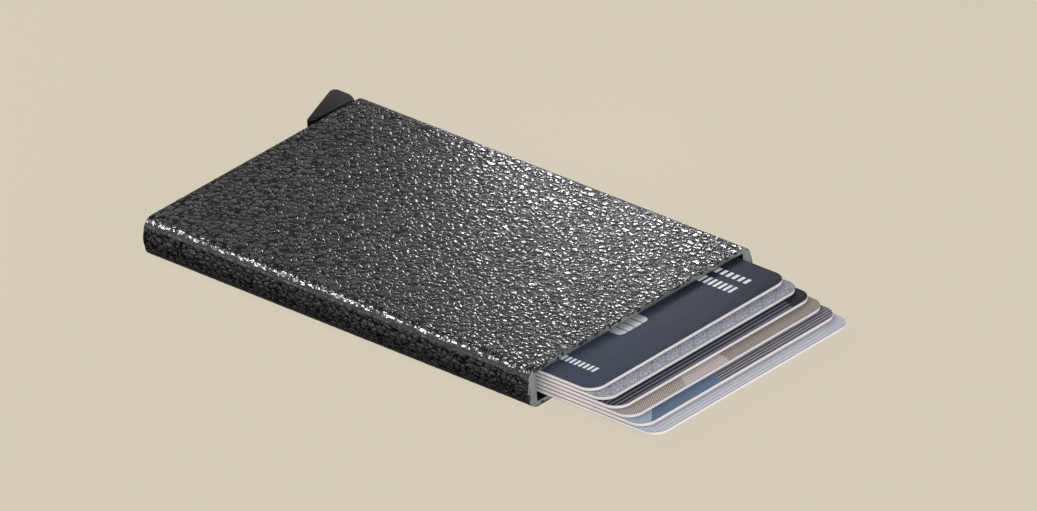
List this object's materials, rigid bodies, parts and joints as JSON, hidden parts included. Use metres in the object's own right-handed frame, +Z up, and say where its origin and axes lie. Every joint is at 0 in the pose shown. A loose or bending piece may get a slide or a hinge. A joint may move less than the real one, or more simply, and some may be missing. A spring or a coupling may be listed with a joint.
{
  "type": "minimalist wallet",
  "caption": "Slim aluminium card holder with a textured coat, an eject lever at the closed end and bank cards fanned out of the open mouth.",
  "frame": {"origin": "centre of the case's flat bottom face", "axes": "+X across the case's width towards the lever's corner, +Y along its length from the mouth to the closed end, +Z up through its thickness"},
  "size_m": [0.062, 0.1347, 0.0082],
  "materials": {
    "coated_case": "pebbled",
    "black_moulding": "satin",
    "steel_pin": "satin",
    "grip_foam": "matte",
    "grip_felt": "matte",
    "card_navy": "satin",
    "card_silver": "satin",
    "card_midnight": "satin",
    "card_taupe": "satin",
    "card_blue": "satin",
    "card_pearl": "satin",
    "chip_plate": "satin"
  },
  "bodies": {
    "case": {"case_tube": "coated_case", "end_cap": "black_moulding", "pivot_pin": "steel_pin", "near_grip_backing": "grip_foam", "near_grip_felt": "grip_felt", "far_grip_backing": "grip_foam", "far_grip_felt": "grip_felt"},
    "lever": {"eject_lever": "black_moulding", "lever_finger_1": "black_moulding", "lever_finger_2": "black_moulding", "lever_finger_3": "black_moulding", "lever_finger_4": "black_moulding", "lever_finger_5": "black_moulding", "lever_finger_6": "black_moulding"},
    "card_1_body": {"card_1": "card_navy", "card_1_chip": "chip_plate"},
    "card_2_body": {"card_2": "card_silver"},
    "card_3_body": {"card_3": "card_midnight"},
    "card_4_body": {"card_4": "card_taupe"},
    "card_5_body": {"card_5": "card_blue"},
    "card_6_body": {"card_6": "card_pearl"}
  },
  "joints": [
    {"name": "lever_press", "type": "hinge", "parent": "case", "child": "lever", "pos_m": [0.0252, 0.0425, 0.0045], "axis": [0, 0, 1], "range_deg": [0, 36]},
    {"name": "card_1_slide", "type": "slide", "parent": "case", "child": "card_1_body", "axis": [0, -1, 0], "range_m": [-0.01445, 0.0728]},
    {"name": "card_2_slide", "type": "slide", "parent": "case", "child": "card_2_body", "axis": [0, -1, 0], "range_m": [-0.01755, 0.0697]},
    {"name": "card_3_slide", "type": "slide", "parent": "case", "child": "card_3_body", "axis": [0, -1, 0], "range_m": [-0.02065, 0.0666]},
    {"name": "card_4_slide", "type": "slide", "parent": "case", "child": "card_4_body", "axis": [0, -1, 0], "range_m": [-0.02375, 0.0635]},
    {"name": "card_5_slide", "type": "slide", "parent": "case", "child": "card_5_body", "axis": [0, -1, 0], "range_m": [-0.02685, 0.0604]},
    {"name": "card_6_slide", "type": "slide", "parent": "case", "child": "card_6_body", "axis": [0, -1, 0], "range_m": [-0.02995, 0.0573]}
  ]
}
